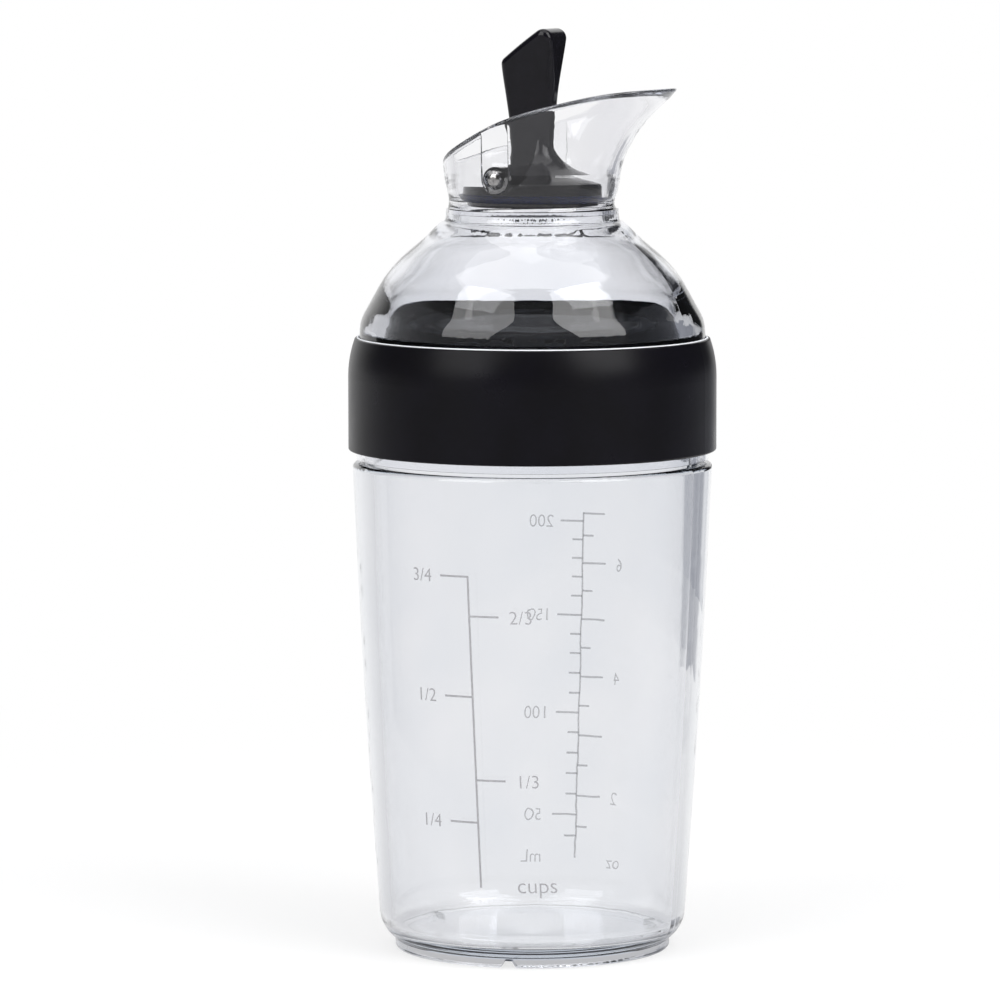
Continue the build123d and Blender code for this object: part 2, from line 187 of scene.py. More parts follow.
def thread_tree():
    """Ridges of trapezoid section that climb a wall in a right-hand helix and fade out at both ends."""
    tree, sizes, result = tree_with_inputs(
        "screw_thread",
        {
            "Radius": ("NodeSocketFloat", 0.0),
            "Depth": ("NodeSocketFloat", 0.0),
            "Foot": ("NodeSocketFloat", 0.0),
            "Crest": ("NodeSocketFloat", 0.0),
            "Lead": ("NodeSocketFloat", 0.0),
            "Turns": ("NodeSocketFloat", 0.0),
            "Starts": ("NodeSocketInt", 2),
            "Height": ("NodeSocketFloat", 0.0),
            "Bearing": ("NodeSocketFloat", 0.0),
            "Finish": ("NodeSocketMaterial", None),
        },
    )
    climb = add(tree, "ShaderNodeMath", {0: sizes["Lead"], 1: sizes["Turns"]}, operation="MULTIPLY")
    helix = add(
        tree,
        "GeometryNodeCurveSpiral",
        {
            "Resolution": 96,
            "Rotations": sizes["Turns"],
            "Start Radius": sizes["Radius"],
            "End Radius": sizes["Radius"],
            "Height": climb.outputs[0],
        },
    )
    upright = add(tree, "GeometryNodeSetCurveNormal", {"Curve": helix.outputs[0]}, mode="Z_UP")
    along = add(tree, "GeometryNodeSplineParameter").outputs["Factor"]
    left = add(tree, "ShaderNodeMath", {0: 1.0, 1: along}, operation="SUBTRACT")
    nearest = add(tree, "ShaderNodeMath", {0: along, 1: left.outputs[0]}, operation="MINIMUM")
    fade = add(
        tree,
        "ShaderNodeMapRange",
        {"Value": nearest.outputs[0], "From Max": 0.07, "To Min": 0.05},
        interpolation_type="SMOOTHSTEP",
    )
    section = add(
        tree,
        "GeometryNodeCurvePrimitiveQuadrilateral",
        {
            "Bottom Width": sizes["Foot"],
            "Top Width": sizes["Crest"],
            "Offset": 0.0,
            "Height": sizes["Depth"],
        },
        mode="TRAPEZOID",
    )
    middle_out = add(
        tree, "ShaderNodeMath", {0: sizes["Depth"], 1: thread_stand}, operation="MULTIPLY"
    )
    seat = add(tree, "ShaderNodeCombineXYZ", {"Y": middle_out.outputs[0]})
    seated = add(
        tree, "GeometryNodeTransform", {"Geometry": section.outputs[0], "Translation": seat.outputs[0]}
    )
    rounded = add(
        tree,
        "GeometryNodeFilletCurve",
        {"Curve": seated.outputs[0], "Radius": thread_round, "Limit Radius": True, "Count": 3},
        mode="POLY",
    )
    ridge = add(
        tree,
        "GeometryNodeCurveToMesh",
        {
            "Curve": upright.outputs[0],
            "Profile Curve": rounded.outputs[0],
            "Scale": fade.outputs[0],
            "Fill Caps": True,
        },
    )
    starts = add(tree, "GeometryNodeMeshLine", {"Count": sizes["Starts"], "Offset": (0.0, 0.0, 0.0)})
    share = add(tree, "ShaderNodeMath", {0: math.tau, 1: sizes["Starts"]}, operation="DIVIDE")
    index = add(tree, "GeometryNodeInputIndex").outputs[0]
    step = add(tree, "ShaderNodeMath", {0: index, 1: share.outputs[0]}, operation="MULTIPLY")
    bearing = add(tree, "ShaderNodeMath", {0: step.outputs[0], 1: sizes["Bearing"]}, operation="ADD")
    turn = add(tree, "ShaderNodeCombineXYZ", {"Z": bearing.outputs[0]})
    both = add(
        tree,
        "GeometryNodeInstanceOnPoints",
        {"Points": starts.outputs[0], "Instance": ridge.outputs[0], "Rotation": turn.outputs[0]},
    )
    lift = add(tree, "ShaderNodeCombineXYZ", {"Z": sizes["Height"]})
    lifted = add(
        tree, "GeometryNodeTransform", {"Geometry": both.outputs[0], "Translation": lift.outputs[0]}
    )
    plain = add(tree, "GeometryNodeRealizeInstances", {"Geometry": lifted.outputs[0]})
    finished = add(
        tree,
        "GeometryNodeSetMaterial",
        {"Geometry": plain.outputs[0], "Material": sizes["Finish"]},
    )
    tree.links.new(finished.outputs[0], result[0])
    return tree


def grow(name, tree, sizes):
    """Run a geometry tree with these input values and return the plain mesh that it makes."""
    holder = bpy.data.objects.new(name, bpy.data.meshes.new(name))
    bpy.context.scene.collection.objects.link(holder)
    modifier = holder.modifiers.new(name, "NODES")
    modifier.node_group = tree
    inputs = [item for item in tree.interface.items_tree if item.in_out == "INPUT"]
    identifiers = {item.name: item.identifier for item in inputs}
    for label, value in sizes.items():
        modifier[identifiers[label]] = value
    graph = bpy.context.evaluated_depsgraph_get()
    mesh = bpy.data.meshes.new_from_object(holder.evaluated_get(graph))
    bpy.data.objects.remove(holder)
    return mesh


def place_piece(name, mesh, body):
    """Make a mesh a piece that rides on a body, with its doubles merged and its faces pointing out."""
    shaped = bmesh.new()
    shaped.from_mesh(mesh)
    bmesh.ops.remove_doubles(shaped, verts=shaped.verts, dist=0.001 * mm)
    bmesh.ops.recalc_face_normals(shaped, faces=shaped.faces)
    shaped.to_mesh(mesh)
    shaped.free()
    mesh.name = name
    piece = bpy.data.objects.new(name, mesh)
    bpy.context.scene.collection.objects.link(piece)
    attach(piece, body)
    return piece


screw_thread = thread_tree()
neck_mesh = grow(
    "neck_thread",
    screw_thread,
    {
        "Radius": neck_radius,
        "Depth": thread_depth,
        "Foot": thread_foot,
        "Crest": thread_crest,
        "Lead": thread_lead,
        "Turns": neck_turns,
        "Starts": 2,
        "Height": neck_thread_height,
        "Bearing": 0.0,
        "Finish": tumbler_clear,
    },
)
place_piece("neck_thread", neck_mesh, "tumbler")


# Printed scales: grey screen-printed ink on the tumbler's outside, baked on, a few hundredths thick.
# Cups stand at the front, millilitres and ounces at the back, where they show mirrored through the cup.
ink_proud = 0.03 * mm
ink_sunk = 0.02 * mm
line_width = 0.38 * mm
wall_foot_radius = 29.4 * mm
wall_foot_height = 6.8 * mm
shoulder_radius = 34.4 * mm
shoulder_height = 93.6 * mm
wall_bow = 0.4 * mm
fill_foot_radius = 26.87 * mm
fill_foot_height = 3.0 * mm
fill_slope = 0.0313
cup = 236.59
ounce = 29.574
millilitre = 1e-6
digit_share = 0.73
pen_thinning = 0.012


def printed_ink(name, worn, dense, thin):
    """Satin screen-printed grey ink: uneven cover and paler pinholes. Thin ink lets some light by."""
    material, tree, place, output = start_material(name)
    cover = add(tree, "ShaderNodeTexNoise", {"Vector": place, "Scale": 1 / (0.5 * mm), "Detail": 4.0})
    colour = add(tree, "ShaderNodeValToRGB", {"Fac": cover.outputs["Fac"]})
    colour.color_ramp.elements[0].position = 0.3
    colour.color_ramp.elements[0].color = linear(dense)
    colour.color_ramp.elements[1].position = 0.75
    colour.color_ramp.elements[1].color = linear(worn)
    bump = add(
        tree, "ShaderNodeBump", {"Height": cover.outputs["Fac"], "Strength": 0.3, "Distance": 0.01 * mm}
    )
    shader = add(
        tree,
        "ShaderNodeBsdfPrincipled",
        {
            "Base Color": colour.outputs["Color"],
            "Normal": bump.outputs["Normal"],
            "Roughness": 0.45,
        },
    )
    gaps = add(tree, "ShaderNodeBsdfTransparent")
    both = add(tree, "ShaderNodeMixShader", {0: thin, 1: shader.outputs["BSDF"], 2: gaps.outputs[0]})
    tree.links.new(both.outputs[0], output.inputs["Surface"])
    return material


def scale_tree():
    """A flat ladder of marks at equal steps of volume, at the heights that a tapered cup gives them."""
    tree, sizes, result = tree_with_inputs(
        "measuring_marks",
        {
            "First": ("NodeSocketFloat", 0.0),
            "Step": ("NodeSocketFloat", 0.0),
            "Count": ("NodeSocketInt", 1),
            "Long every": ("NodeSocketFloat", 1.0),
            "Long from": ("NodeSocketFloat", 0.0),
            "Long": ("NodeSocketFloat", 0.0),
            "Short": ("NodeSocketFloat", 0.0),
            "Side": ("NodeSocketFloat", 1.0),
            "Width": ("NodeSocketFloat", 0.0),
            "Thickness": ("NodeSocketFloat", 0.0),
            "Squeeze": ("NodeSocketFloat", 1.0),
            "Drop": ("NodeSocketFloat", 0.0),
            "Finish": ("NodeSocketMaterial", None),
        },
    )
    index = add(tree, "GeometryNodeInputIndex").outputs[0]
    stepped = add(tree, "ShaderNodeMath", {0: index, 1: sizes["Step"]}, operation="MULTIPLY")
    volume = add(tree, "ShaderNodeMath", {0: sizes["First"], 1: stepped.outputs[0]}, operation="ADD")
    cone_share = 3 * fill_slope / math.pi
    swelled = add(tree, "ShaderNodeMath", {0: volume.outputs[0], 1: cone_share}, operation="MULTIPLY")
    cubed = add(tree, "ShaderNodeMath", {0: fill_foot_radius**3, 1: swelled.outputs[0]}, operation="ADD")
    radius = add(tree, "ShaderNodeMath", {0: cubed.outputs[0], 1: 1 / 3}, operation="POWER")
    grown = add(tree, "ShaderNodeMath", {0: radius.outputs[0], 1: fill_foot_radius}, operation="SUBTRACT")
    climbed = add(tree, "ShaderNodeMath", {0: grown.outputs[0], 1: fill_slope}, operation="DIVIDE")
    risen = add(tree, "ShaderNodeMath", {0: climbed.outputs[0], 1: fill_foot_height}, operation="ADD")
    squeezed = add(tree, "ShaderNodeMath", {0: risen.outputs[0], 1: sizes["Squeeze"]}, operation="MULTIPLY")
    height = add(tree, "ShaderNodeMath", {0: squeezed.outputs[0], 1: sizes["Drop"]}, operation="SUBTRACT")
    counted = add(tree, "ShaderNodeMath", {0: index, 1: sizes["Long from"]}, operation="ADD")
    left_over = add(
        tree, "ShaderNodeMath", {0: counted.outputs[0], 1: sizes["Long every"]}, operation="FLOORED_MODULO"
    )
    is_long = add(tree, "ShaderNodeMath", {0: left_over.outputs[0], 1: 0.5}, operation="LESS_THAN")
    extra = add(tree, "ShaderNodeMath", {0: sizes["Long"], 1: sizes["Short"]}, operation="SUBTRACT")
    added = add(tree, "ShaderNodeMath", {0: is_long.outputs[0], 1: extra.outputs[0]}, operation="MULTIPLY")
    length = add(tree, "ShaderNodeMath", {0: sizes["Short"], 1: added.outputs[0]}, operation="ADD")
    reach = add(tree, "ShaderNodeMath", {0: length.outputs[0], 1: sizes["Side"]}, operation="MULTIPLY")
    middle = add(tree, "ShaderNodeMath", {0: reach.outputs[0], 1: 0.5}, operation="MULTIPLY")
    spot = add(tree, "ShaderNodeCombineXYZ", {"X": middle.outputs[0], "Y": height.outputs[0]})
    points = add(tree, "GeometryNodeMeshLine", {"Count": sizes["Count"], "Offset": (0.0, 0.0, 0.0)})
    placed = add(
        tree, "GeometryNodeSetPosition", {"Geometry": points.outputs[0], "Position": spot.outputs[0]}
    )
    block = add(
        tree,
        "GeometryNodeMeshCube",
        {"Size": (1.0, 1.0, 1.0), "Vertices X": 9, "Vertices Y": 2, "Vertices Z": 2},
    )
    size = add(
        tree,
        "ShaderNodeCombineXYZ",
        {"X": length.outputs[0], "Y": sizes["Width"], "Z": sizes["Thickness"]},
    )
    marks = add(
        tree,
        "GeometryNodeInstanceOnPoints",
        {"Points": placed.outputs[0], "Instance": block.outputs[0], "Scale": size.outputs[0]},
    )
    plain = add(tree, "GeometryNodeRealizeInstances", {"Geometry": marks.outputs[0]})
    finished = add(
        tree, "GeometryNodeSetMaterial", {"Geometry": plain.outputs[0], "Material": sizes["Finish"]}
    )
    tree.links.new(finished.outputs[0], result[0])
    return tree


def flat_word(body, tall, across, high):
    """A word as a flat mesh, centred on this place. Its letters are as thick as the ink."""
    curve = bpy.data.curves.new("word", "FONT")
    curve.body = body
    curve.size = tall / digit_share
    curve.align_x = "CENTER"
    curve.extrude = (ink_proud + ink_sunk) / 2
    curve.offset = -pen_thinning * tall
    holder = bpy.data.objects.new("word", curve)
    bpy.context.scene.collection.objects.link(holder)
    graph = bpy.context.evaluated_depsgraph_get()
    mesh = bpy.data.meshes.new_from_object(holder.evaluated_get(graph))
    bpy.data.objects.remove(holder)
    for vertex in mesh.vertices:
        vertex.co.x += across
        vertex.co.y += high - tall / 2
    return mesh


def flat_cap(long, high):
    """The mark that closes the top of a scale, towards its left."""
    shaped = bmesh.new()
    bmesh.ops.create_cube(shaped, size=1.0)
    across = [edge for edge in shaped.edges if abs(edge.verts[0].co.x - edge.verts[1].co.x) > 0.5]
    bmesh.ops.subdivide_edges(shaped, edges=across, cuts=8)
    for vertex in shaped.verts:
        vertex.co.x = (vertex.co.x - 0.5) * long
        vertex.co.y = high + vertex.co.y * line_width
        vertex.co.z *= ink_proud + ink_sunk
    mesh = bpy.data.meshes.new("cap")
    shaped.to_mesh(mesh)
    shaped.free()
    return mesh


def flat_stem(low, high):
    """The upright line of a scale, cut into short lengths so that it can follow the wall."""
    shaped = bmesh.new()
    bmesh.ops.create_cube(shaped, size=1.0)
    upright = [edge for edge in shaped.edges if abs(edge.verts[0].co.y - edge.verts[1].co.y) > 0.5]
    bmesh.ops.subdivide_edges(shaped, edges=upright, cuts=30)
    for vertex in shaped.verts:
        vertex.co.x *= line_width
        vertex.co.y = low + (vertex.co.y + 0.5) * (high - low)
        vertex.co.z *= ink_proud + ink_sunk
    mesh = bpy.data.meshes.new("stem")
    shaped.to_mesh(mesh)
    shaped.free()
    return mesh


def wall_radius(height):
    """The tumbler's outside radius at a height. The wall tapers and bows out a little half-way up."""
    share = (height - wall_foot_height) / (shoulder_height - wall_foot_height)
    taper = (shoulder_radius - wall_foot_radius) * share
    bow = 4 * wall_bow * share * (1 - share)
    return wall_foot_radius + taper + bow


def print_on_wall(name, parts, finish, bearing, lean, lean_from):
    """Join flat artwork and roll it on the tumbler. The print leans a little as it goes down."""
    shaped = bmesh.new()
    for part in parts:
        shaped.from_mesh(part)
    for vertex in shaped.verts:
        across, high, deep = vertex.co
        wall = wall_radius(high)
        out = wall + deep + (ink_proud - ink_sunk) / 2
        turn = bearing + lean * (lean_from - high) + across / wall
        vertex.co = (out * math.sin(turn), -out * math.cos(turn), high)
    for face in shaped.faces:
        face.material_index = 0
    mesh = bpy.data.meshes.new(name)
    shaped.to_mesh(mesh)
    shaped.free()
    mesh.materials.append(finish)
    return place_piece(name, mesh, "tumbler")


ink = printed_ink("baked_grey_printing_ink", "#a3a3a6", "#8f8f93", 0.0)
marks = scale_tree()
digit_height = 2.6 * mm


def fill_height(volume):
    """The height that a volume in millilitres fills the cup to."""
    radius = (fill_foot_radius**3 + 3 * fill_slope * volume * millilitre / math.pi) ** (1 / 3)
    return fill_foot_height + (radius - fill_foot_radius) / fill_slope


def ladder(first, step, count, long_every, long_from, long, short, side, squeeze, drop):
    """The flat marks of one side of a scale."""
    return grow(
        "marks",
        marks,
        {
            "First": first * millilitre,
            "Step": step * millilitre,
            "Count": count,
            "Long every": long_every,
            "Long from": long_from,
            "Long": long,
            "Short": short,
            "Side": side,
            "Width": line_width,
            "Thickness": ink_proud + ink_sunk,
            "Squeeze": squeeze,
            "Drop": drop,
            "Finish": ink,
        },
    )


cup_mark = 5.7 * mm
cup_word_reach = 9.9 * mm
cups_stem_foot = 15.85 * mm
cups_word_across = 10.8 * mm
cups_word_height = 16.6 * mm
cups_bearing = math.radians(0.9)
cups_lean = math.radians(2.4) / (59 * mm)
cups_top = fill_height(0.75 * cup)
cups_parts = [
    flat_stem(cups_stem_foot, cups_top + line_width / 2),
    ladder(cup / 4, cup / 4, 3, 1.0, 0.0, cup_mark, cup_mark, -1.0, 1.0, 0.0),
    ladder(cup / 3, cup / 3, 2, 1.0, 0.0, cup_mark, cup_mark, 1.0, 1.0, 0.0),
    flat_word("cups", 1.2 * digit_height, cups_word_across, cups_word_height),
]
for quarter, words in ((1, "1/4"), (2, "1/2"), (3, "3/4")):
    high = fill_height(quarter * cup / 4)
    cups_parts.append(flat_word(words, digit_height, -cup_word_reach, high))
for third, words in ((1, "1/3"), (2, "2/3")):
    high = fill_height(third * cup / 3)
    cups_parts.append(flat_word(words, digit_height, cup_word_reach, high))
print_on_wall("cups_scale", cups_parts, ink, cups_bearing, cups_lean, cups_top)

# The far marks are squeezed and dropped by values fitted to where the real ones are seen. They aren't
# a true scale: the cup holds 6 to 10 mL less than the millilitre marks say.
# The far print is the same ink as the near one. Its paler greys are painted light, standing in for the
# light that doesn't reach its back, seen through the cup. Its large see-through share lightens it for the
# same reason.
rear_ink_painted_lighter = printed_ink("grey_printing_ink_painted_lighter", "#b4b4b8", "#a2a2a7", 0.72)
rear_squeeze = 0.985
rear_drop = 2.69 * mm
rear_top = fill_height(7 * ounce) * rear_squeeze - rear_drop - 1.0 * mm
rear_stem_foot = 12.9 * mm
rear_cap = 5.0 * mm
rear_short = 2.4 * mm
volume_mark = 5.1 * mm
volume_word_reach = 9.2 * mm
ounce_mark = 5.6 * mm
ounce_word_reach = 9.0 * mm
rear_bearing = math.radians(183.0)
rear_lean = math.radians(1.7) / (68 * mm)
rear_parts = [
    flat_stem(rear_stem_foot, rear_top + line_width / 2),
    ladder(40, 10, 17, 5.0, 4.0, volume_mark, rear_short, 1.0, rear_squeeze, rear_drop),
    ladder(1.5 * ounce, 0.5 * ounce, 11, 2.0, 1.0, ounce_mark, rear_short, -1.0, rear_squeeze, rear_drop),
    flat_cap(rear_cap, rear_top),
    flat_word("mL", digit_height, 9.3 * mm, 13.2 * mm),
    flat_word("oz", digit_height, -9.1 * mm, 12.6 * mm),
]
for volume in (50, 100, 150, 200):
    high = fill_height(volume) * rear_squeeze - rear_drop
    rear_parts.append(flat_word(str(volume), digit_height, volume_word_reach, high))
for ounces in (2, 4, 6):
    high = fill_height(ounces * ounce) * rear_squeeze - rear_drop
    rear_parts.append(flat_word(str(ounces), digit_height, -ounce_word_reach, high))
print_on_wall(
    "millilitre_and_ounce_scale", rear_parts, rear_ink_painted_lighter, rear_bearing, rear_lean, rear_top
)


# Lid gasket: flat ring of dark silicone, compression moulded, pushed up into the lid's seat. Its
# surface has the fine even grain of the tool and a faint bloom.
def silicone(name, deep, bloom, roughness):
    """Moulded silicone: dark, even, a faint bloom, and the tool's grain, coarser than real so it shows."""
    material, tree, place, output = start_material(name)
    cloud = add(tree, "ShaderNodeTexNoise", {"Vector": place, "Scale": 1 / (3 * mm), "Detail": 4.0})
    grain = add(tree, "ShaderNodeTexNoise", {"Vector": place, "Scale": 1 / (0.12 * mm), "Detail": 2.0})
    colour = add(tree, "ShaderNodeValToRGB", {"Fac": cloud.outputs["Fac"]})
    colour.color_ramp.elements[0].position = 0.35
    colour.color_ramp.elements[0].color = linear(deep)
    colour.color_ramp.elements[1].position = 0.8
    colour.color_ramp.elements[1].color = linear(bloom)
    dull = add(
        tree,
        "ShaderNodeMapRange",
        {
            "Value": cloud.outputs["Fac"],
            "From Min": 0.3,
            "From Max": 0.7,
            "To Min": roughness - 0.05,
            "To Max": roughness + 0.06,
        },
    )
    bump = add(
        tree, "ShaderNodeBump", {"Height": grain.outputs["Fac"], "Strength": 0.4, "Distance": 0.01 * mm}
    )
    shader = add(
        tree,
        "ShaderNodeBsdfPrincipled",
        {
            "Base Color": colour.outputs["Color"],
            "Roughness": dull.outputs["Result"],
            "Normal": bump.outputs["Normal"],
            "IOR": 1.42,
            "Specular IOR Level": 0.15,
        },
    )
    tree.links.new(shader.outputs["BSDF"], output.inputs["Surface"])
    return material


dress("lid_gasket", silicone("moulded_dark_silicone_lid_gasket", "#12161f", "#191d28", 0.42))


# Dome: the lid's clear copolyester body, moulded with the skirt and thread below it and left
# polished. It is thicker near the skirt, so it looks greyer there.
dome_clear = clear_copolyester(
    "moulded_clear_copolyester_dome", "#fcfcfe", "#f7f8fb", "#bac2d0", 28.0, 0.015
)
dress("lid_dome", dome_clear)


# Skirt thread: the lid's half of the screw, moulded inside the skirt. Its ridges run just under the
# neck's, so that they pull the lid down on its gasket.
skirt_radius = 33.0 * mm
flank_gap = 2.4 * mm
skirt_turns = 0.5
skirt_mesh = grow(
    "skirt_thread",
    screw_thread,
    {
        "Radius": skirt_radius,
        "Depth": -thread_depth,
        "Foot": thread_foot,
        "Crest": thread_crest,
        "Lead": thread_lead,
        "Turns": skirt_turns,
        "Starts": 2,
        "Height": neck_thread_height - flank_gap,
        "Bearing": 0.0,
        "Finish": dome_clear,
    },
)
place_piece("skirt_thread", skirt_mesh, "lid")


# Grip band: soft matte elastomer, overmoulded on the skirt so that wet fingers can turn the lid.
# The tool's spark texture scatters highlights into a wide grey sheen.
def soft_elastomer(name, deep, worn, roughness, gloss):
    """Overmoulded soft elastomer: paler where rubbed, its spark grain drawn coarse enough to show."""
    material, tree, place, output = start_material(name)
    rub = add(tree, "ShaderNodeTexNoise", {"Vector": place, "Scale": 1 / (11 * mm), "Detail": 5.0})
    grain = add(tree, "ShaderNodeTexNoise", {"Vector": place, "Scale": 1 / (0.22 * mm), "Detail": 2.5})
    colour = add(tree, "ShaderNodeValToRGB", {"Fac": rub.outputs["Fac"]})
    colour.color_ramp.elements[0].position = 0.35
    colour.color_ramp.elements[0].color = linear(deep)
    colour.color_ramp.elements[1].position = 0.75
    colour.color_ramp.elements[1].color = linear(worn)
    dull = add(
        tree,
        "ShaderNodeMapRange",
        {
            "Value": rub.outputs["Fac"],
            "From Min": 0.3,
            "From Max": 0.7,
            "To Min": roughness + 0.04,
            "To Max": roughness - 0.04,
        },
    )
    bump = add(
        tree, "ShaderNodeBump", {"Height": grain.outputs["Fac"], "Strength": 0.5, "Distance": 0.02 * mm}
    )
    shader = add(
        tree,
        "ShaderNodeBsdfPrincipled",
        {
            "Base Color": colour.outputs["Color"],
            "Roughness": dull.outputs["Result"],
            "Normal": bump.outputs["Normal"],
            "IOR": 1.48,
            "Specular IOR Level": gloss,
        },
    )
    tree.links.new(shader.outputs["BSDF"], output.inputs["Surface"])
    return material


dress("grip_band", soft_elastomer("overmoulded_soft_elastomer_band", "#0b0a0e", "#0f0e14", 0.3, 0.16))


# Bonded face: the elastomer keyed to the skirt, seen black through the clear plastic because no air
# lies between the two. It follows the inside of the band, a few hundredths within the skirt.
skirt_wall_radius = 34.0 * mm
dome_foot_radius = 33.1 * mm
band_foot = 96.0 * mm
band_straight = 110.12 * mm
band_top = 117.4 * mm
bond_depth = 0.07 * mm
bond_thickness = 0.03 * mm
bond_steps = 12
bond_segments = 128


def lathe(name, profile, segments):
    """A closed profile of radius and height pairs, turned round the bottle's axis."""
    shaped = bmesh.new()
    rings = []
    for step in range(segments):
        angle = math.tau * step / segments
        ring = [shaped.verts.new((r * math.cos(angle), r * math.sin(angle), z)) for r, z in profile]
        rings.append(ring)
    for ring, following in zip(rings, rings[1:] + rings[:1]):
        for place in range(len(profile)):
            after = (place + 1) % len(profile)
            shaped.faces.new((ring[place], following[place], following[after], ring[after]))
    bmesh.ops.recalc_face_normals(shaped, faces=shaped.faces)
    for face in shaped.faces:
        face.smooth = True
    mesh = bpy.data.meshes.new(name)
    shaped.to_mesh(mesh)
    shaped.free()
    return mesh


def band_inside(height):
    """The radius of the band's inner face: straight, then rolled in on a circular arc to the top."""
    run = band_top - band_straight
    roll = skirt_wall_radius - dome_foot_radius
    bend = (run**2 + roll**2) / (2 * roll)
    climb = max(0.0, height - band_straight)
    return skirt_wall_radius - (bend - math.sqrt(bend**2 - climb**2))


bond_heights = [band_foot + 2 * bond_depth, band_straight]
for step in range(1, bond_steps + 1):
    bond_heights.append(band_straight + (band_top - bond_depth - band_straight) * step / bond_steps)
bond_outer = [(band_inside(height) - bond_depth, height) for height in bond_heights]
bond_inner = [(radius - bond_thickness, height) for radius, height in reversed(bond_outer)]
bond_mesh = lathe("band_bonded_face", bond_outer + bond_inner, bond_segments)
bond_mesh.materials.append(soft_elastomer("bonded_soft_elastomer_face", "#07080c", "#0a0b11", 0.6, 0.0))
place_piece("band_bonded_face", bond_mesh, "lid")


# Dome bead: the dome's plastic stands a hair proud where the grip band ends, as a rounded bead that keeps
# the elastomer's edge from lifting. It is drawn pale matt white: a painted highlight for the one thin
# bright line that it shows.
bead_radius = 33.36 * mm
bead_height = 117.42 * mm
bead_round = 0.2 * mm
bead_steps = 10
bead_segments = 192


def matt_edge(name, pale, highlight_dim):
    """Pale matt white in place of clear plastic: a painted highlight for the light led down the wall, with
    a fine sand grain.
    """
    material, tree, place, output = start_material(name)
    sand = add(tree, "ShaderNodeTexNoise", {"Vector": place, "Scale": 1 / (0.3 * mm), "Detail": 3.0})
    colour = add(tree, "ShaderNodeValToRGB", {"Fac": sand.outputs["Fac"]})
    colour.color_ramp.elements[0].position = 0.3
    colour.color_ramp.elements[0].color = linear(highlight_dim)
    colour.color_ramp.elements[1].position = 0.7
    colour.color_ramp.elements[1].color = linear(pale)
    bump = add(
        tree, "ShaderNodeBump", {"Height": sand.outputs["Fac"], "Strength": 0.4, "Distance": 0.01 * mm}
    )
    shader = add(
        tree,
        "ShaderNodeBsdfPrincipled",
        {
            "Base Color": colour.outputs["Color"],
            "Normal": bump.outputs["Normal"],
            "Roughness": 0.5,
        },
    )
    tree.links.new(shader.outputs["BSDF"], output.inputs["Surface"])
    return material


bead_profile = []
for step in range(bead_steps):
    turn = math.tau * step / bead_steps
    radius = bead_radius + bead_round * math.cos(turn)
    height = bead_height + bead_round * math.sin(turn)
    bead_profile.append((radius, height))
bead_mesh = lathe("dome_bead", bead_profile, bead_segments)
# The bead's pale colour is a painted highlight, not the colour of its plastic.
bead_mesh.materials.append(matt_edge("painted_highlight_bead", "#e9ebee", "#d3d6db"))
place_piece("dome_bead", bead_mesh, "lid")


# Spout: clear copolyester funnel, moulded apart from the dome and welded into its throat. It is
# thinner and clearer than the dome, with the same tool polish.
dress(
    "spout",
    clear_copolyester("moulded_clear_copolyester_spout", "#fdfdfe", "#f9f9fb", "#b9bfce", 16.0, 0.012),
)


# Hinge pin: bright stainless rod, cropped, tumbled and pressed through the spout's two ears. The
# turned rings on its rounded ends catch the light.
def stainless_rod(name, bright, worn):
    """Tumbled stainless: fine rings round the rod's axis and small dull specks."""
    material, tree, place, output = start_material(name)
    rings = add(
        tree,
        "ShaderNodeTexWave",
        {"Vector": place, "Scale": 1 / (1.2 * mm), "Distortion": 1.5, "Detail": 2.0},
        bands_direction="Y",
    )
    specks = add(tree, "ShaderNodeTexNoise", {"Vector": place, "Scale": 1 / (0.5 * mm), "Detail": 4.0})
    colour = add(tree, "ShaderNodeValToRGB", {"Fac": specks.outputs["Fac"]})
    colour.color_ramp.elements[0].position = 0.3
    colour.color_ramp.elements[0].color = linear(worn)
    colour.color_ramp.elements[1].position = 0.6
    colour.color_ramp.elements[1].color = linear(bright)
    polish = add(
        tree,
        "ShaderNodeMapRange",
        {"Value": specks.outputs["Fac"], "From Min": 0.3, "From Max": 0.7, "To Min": 0.24, "To Max": 0.12},
    )
    bump = add(
        tree, "ShaderNodeBump", {"Height": rings.outputs["Fac"], "Strength": 0.15, "Distance": 0.01 * mm}
    )
    shader = add(
        tree,
        "ShaderNodeBsdfPrincipled",
        {
            "Base Color": colour.outputs["Color"],
            "Metallic": 1.0,
            "Roughness": polish.outputs["Result"],
            "Normal": bump.outputs["Normal"],
        },
    )
    tree.links.new(shader.outputs["BSDF"], output.inputs["Surface"])
    return material


dress("hinge_pin", stainless_rod("tumbled_stainless_pin", "#cfcdcb", "#a7a5a4"))


